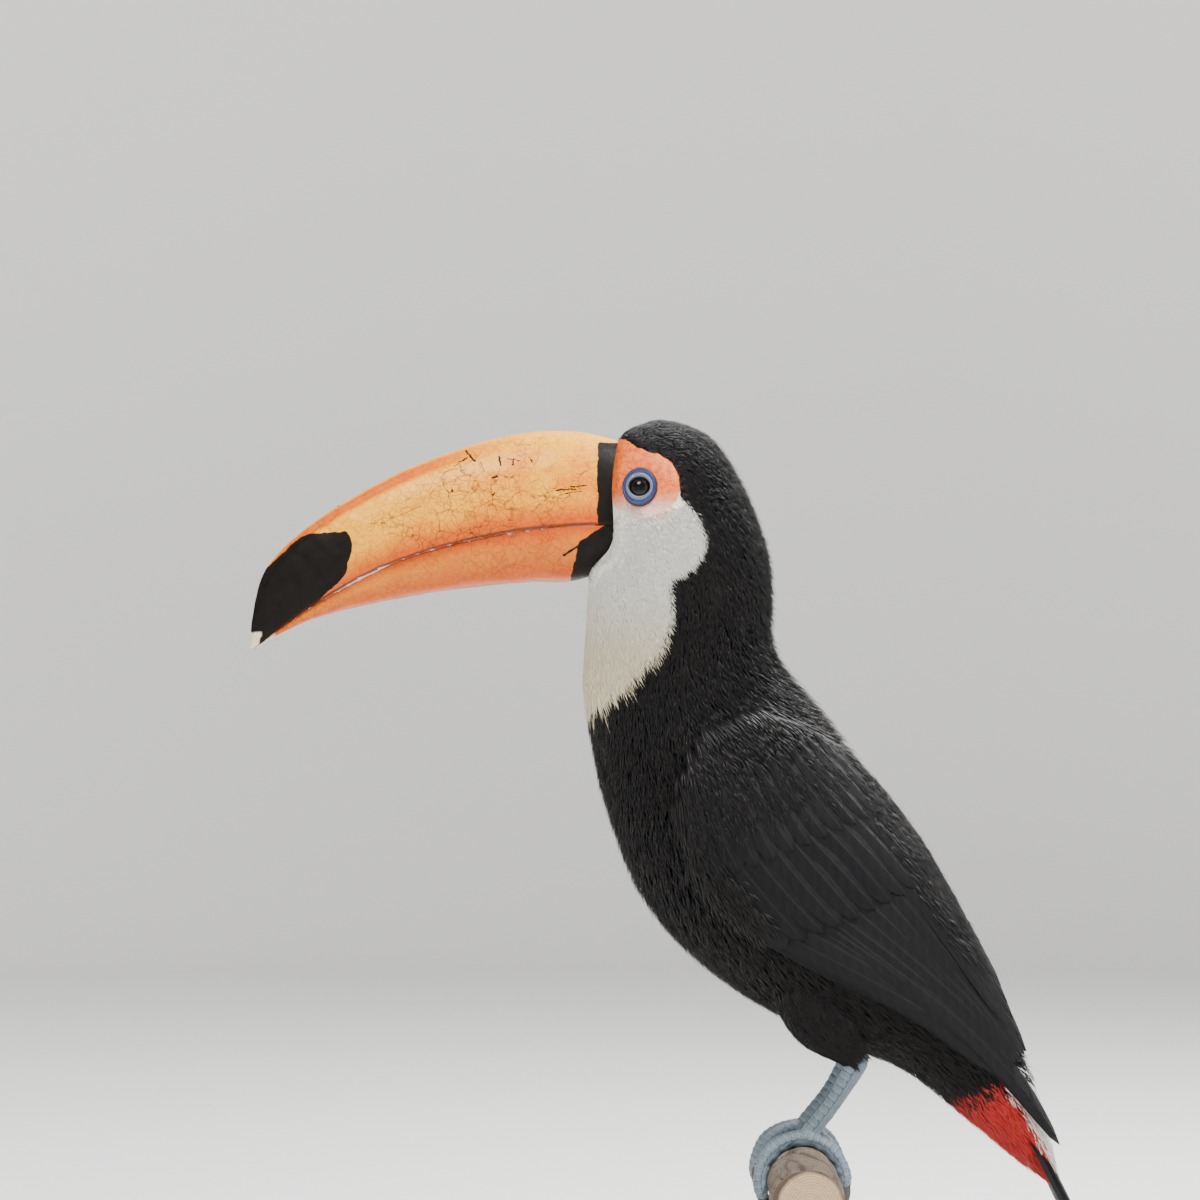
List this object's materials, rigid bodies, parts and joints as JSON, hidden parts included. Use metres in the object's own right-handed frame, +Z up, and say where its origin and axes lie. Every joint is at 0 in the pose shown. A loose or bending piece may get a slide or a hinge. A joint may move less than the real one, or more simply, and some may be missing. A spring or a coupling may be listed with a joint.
{
  "type": "toucan",
  "caption": "Toco toucan perched upright on a short branch on a display stand: great curved bill closed, wings folded, tail hanging behind the branch.",
  "frame": {"origin": "centre of the stand's underside, on the floor", "axes": "+Z up, the bird faces -X with its left side towards -Y, and the X-Z plane is its plane of symmetry"},
  "size_m": [0.4044, 0.18, 0.459],
  "materials": {
    "bill": "satin horn, orange with a black base band and tip patch",
    "head_feathers": "soft short feathers, black crown and white cheek round orange bare skin",
    "bib_feathers": "soft short feathers, white bib with a black nape",
    "body_feathers": "black feathers with a faint gloss",
    "wing_feathers": "firm black feathers with a faint gloss",
    "tail_feathers": "firm black feathers",
    "eye": "wet dark brown",
    "eye_ring": "bare blue skin, finely beaded at the lids",
    "leg_skin": "blue-grey scaled skin",
    "claw": "dark horn",
    "bark": "rough bark",
    "stand_wood": "dark satin wood",
    "stand_steel": "brushed"
  },
  "bodies": {
    "root": {"bill_lower": "bill", "bill_upper": "bill", "claw_left_inner_back": "claw", "claw_left_inner_front": "claw", "claw_left_outer_back": "claw", "claw_left_outer_front": "claw", "claw_right_inner_back": "claw", "claw_right_inner_front": "claw", "claw_right_outer_back": "claw", "claw_right_outer_front": "claw", "eye_left": "eye", "eye_right": "eye", "eye_ring_left": "eye_ring", "eye_ring_right": "eye_ring", "foot_left": "leg_skin", "foot_right": "leg_skin", "head": "head_feathers", "neck": "bib_feathers", "perch": "bark", "primaries_left": "wing_feathers", "primaries_right": "wing_feathers", "stand_base": "stand_wood", "stand_rod_1": "stand_steel", "stand_rod_2": "stand_steel", "tail": "tail_feathers", "thigh_left": "body_feathers", "thigh_right": "body_feathers", "trunk": "body_feathers", "wing_left": "wing_feathers", "wing_right": "wing_feathers"}
  },
  "joints": []
}
